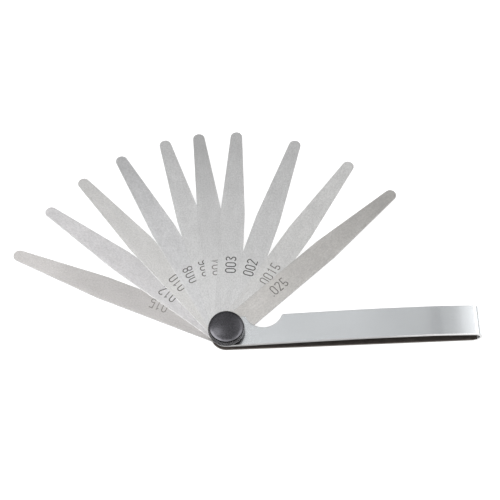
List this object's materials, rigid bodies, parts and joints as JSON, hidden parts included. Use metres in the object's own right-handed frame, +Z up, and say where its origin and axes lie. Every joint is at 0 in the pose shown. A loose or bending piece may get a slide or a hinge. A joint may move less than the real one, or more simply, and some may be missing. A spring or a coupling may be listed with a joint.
{
  "type": "feeler gauge",
  "caption": "Pocket feeler gauge: tapered steel thickness blades fan out of a folded sheet-steel case on a pivot clamped by a knurled thumb screw.",
  "frame": {"origin": "on the pivot axis, at the foot of the barrel nut under the case, level with the surface the gauge lies on", "axes": "+X along the case from the pivot to its folded end, +Y to the side with the thumb notch, +Z up along the pivot axis towards the knob"},
  "size_m": [0.1875, 0.1021, 0.0101],
  "materials": {
    "case_steel": "satin nickel-plated sheet steel, bright cut edges, dark inside",
    "blade_steel": "ground and tempered spring steel, fine satin grain, etched size digits",
    "knob_black": "black oxide steel, diamond knurled rim, smooth domed top with a dull sheen",
    "hardware_steel": "turned steel, plain"
  },
  "bodies": {
    "holder": {"case": "case_steel", "barrel_nut": "hardware_steel"},
    "blade_015": {"blade_015": "blade_steel"},
    "blade_012": {"blade_012": "blade_steel"},
    "blade_010": {"blade_010": "blade_steel"},
    "blade_008": {"blade_008": "blade_steel"},
    "blade_006": {"blade_006": "blade_steel"},
    "blade_004": {"blade_004": "blade_steel"},
    "blade_003": {"blade_003": "blade_steel"},
    "blade_002": {"blade_002": "blade_steel"},
    "blade_0015": {"blade_0015": "blade_steel"},
    "blade_025": {"blade_025": "blade_steel"},
    "washer": {"clamp_washer": "hardware_steel"},
    "screw": {"knob": "knob_black", "knob_stud": "knob_black"}
  },
  "joints": [
    {"name": "blade_015_swing", "type": "hinge", "parent": "holder", "child": "blade_015", "pos_m": [0, 0, 0.0025], "axis": [0, 0, 1], "range_deg": [-154.65, 205.3]},
    {"name": "blade_012_swing", "type": "hinge", "parent": "holder", "child": "blade_012", "pos_m": [0, 0, 0.0025], "axis": [0, 0, 1], "range_deg": [-140.05, 219.9]},
    {"name": "blade_010_swing", "type": "hinge", "parent": "holder", "child": "blade_010", "pos_m": [0, 0, 0.0025], "axis": [0, 0, 1], "range_deg": [-128.35, 231.7]},
    {"name": "blade_008_swing", "type": "hinge", "parent": "holder", "child": "blade_008", "pos_m": [0, 0, 0.0025], "axis": [0, 0, 1], "range_deg": [-116.65, 243.3]},
    {"name": "blade_006_swing", "type": "hinge", "parent": "holder", "child": "blade_006", "pos_m": [0, 0, 0.0025], "axis": [0, 0, 1], "range_deg": [-104.35, 255.7]},
    {"name": "blade_004_swing", "type": "hinge", "parent": "holder", "child": "blade_004", "pos_m": [0, 0, 0.0025], "axis": [0, 0, 1], "range_deg": [-95.35, 264.6]},
    {"name": "blade_003_swing", "type": "hinge", "parent": "holder", "child": "blade_003", "pos_m": [0, 0, 0.0025], "axis": [0, 0, 1], "range_deg": [-85.45, 274.6]},
    {"name": "blade_002_swing", "type": "hinge", "parent": "holder", "child": "blade_002", "pos_m": [0, 0, 0.0025], "axis": [0, 0, 1], "range_deg": [-69.85, 290.1]},
    {"name": "blade_0015_swing", "type": "hinge", "parent": "holder", "child": "blade_0015", "pos_m": [0, 0, 0.0025], "axis": [0, 0, 1], "range_deg": [-54.55, 305.4]},
    {"name": "blade_025_swing", "type": "hinge", "parent": "holder", "child": "blade_025", "pos_m": [0, 0, 0.0025], "axis": [0, 0, 1], "range_deg": [-40.65, 319.4]},
    {"name": "screw_lift", "type": "slide", "parent": "holder", "child": "washer", "axis": [0, 0, 1], "range_m": [0, 0.00105]},
    {"name": "screw_turn", "type": "hinge", "parent": "washer", "child": "screw", "pos_m": [0, 0, 0.006], "axis": [0, 0, 1], "range_deg": [0, 540]}
  ],
  "couplings": [
    {"joint": "screw_lift", "follows": "screw_turn", "m_per_rad": 0.00011141}
  ]
}
